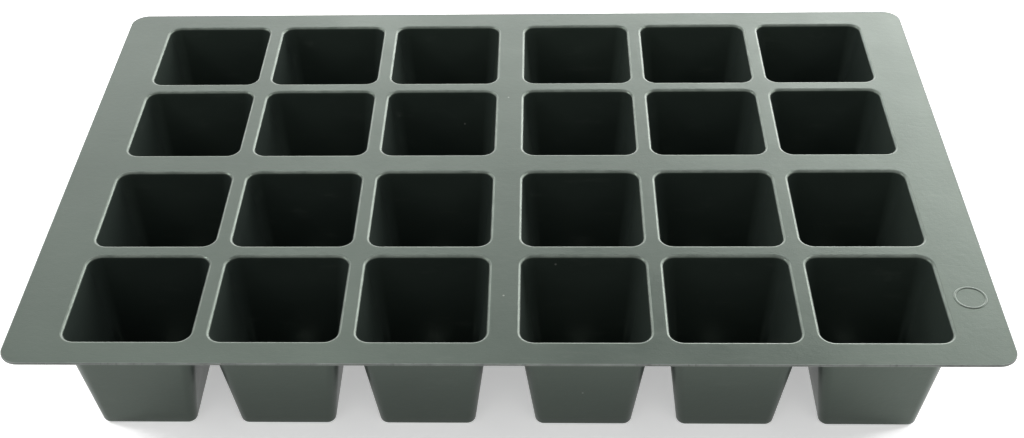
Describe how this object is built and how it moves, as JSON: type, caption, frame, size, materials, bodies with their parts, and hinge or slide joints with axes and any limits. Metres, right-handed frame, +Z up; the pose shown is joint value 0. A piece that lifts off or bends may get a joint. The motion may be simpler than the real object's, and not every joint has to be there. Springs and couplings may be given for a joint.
{
  "type": "plug tray",
  "caption": "Thermoformed seedling tray: a flat flanged deck with a grid of tapered square cells hanging below it, split into four blocks by wide centre ribs.",
  "frame": {"origin": "middle of the tray, on the surface that the cell floors stand on", "axes": "+X along the long side to the right, +Y towards the back, +Z up out of the cells"},
  "size_m": [0.384, 0.252, 0.0523],
  "materials": {
    "deck_sheet": "satin formed sheet, dark grey-green, fine grain and light scuffs",
    "cell_sheet": "satin formed sheet, dark grey-green, stretched thinner and smoother than the deck"
  },
  "bodies": {
    "root": {"border_flange": "deck_sheet", "centre_cross": "deck_sheet", "mould_mark": "deck_sheet", "web_front_left": "deck_sheet", "web_front_right": "deck_sheet", "web_back_left": "deck_sheet", "web_back_right": "deck_sheet", "cell_r1_c1": "cell_sheet", "cell_r1_c2": "cell_sheet", "cell_r1_c3": "cell_sheet", "cell_r1_c4": "cell_sheet", "cell_r1_c5": "cell_sheet", "cell_r1_c6": "cell_sheet", "cell_r2_c1": "cell_sheet", "cell_r2_c2": "cell_sheet", "cell_r2_c3": "cell_sheet", "cell_r2_c4": "cell_sheet", "cell_r2_c5": "cell_sheet", "cell_r2_c6": "cell_sheet", "cell_r3_c1": "cell_sheet", "cell_r3_c2": "cell_sheet", "cell_r3_c3": "cell_sheet", "cell_r3_c4": "cell_sheet", "cell_r3_c5": "cell_sheet", "cell_r3_c6": "cell_sheet", "cell_r4_c1": "cell_sheet", "cell_r4_c2": "cell_sheet", "cell_r4_c3": "cell_sheet", "cell_r4_c4": "cell_sheet", "cell_r4_c5": "cell_sheet", "cell_r4_c6": "cell_sheet"}
  },
  "joints": []
}
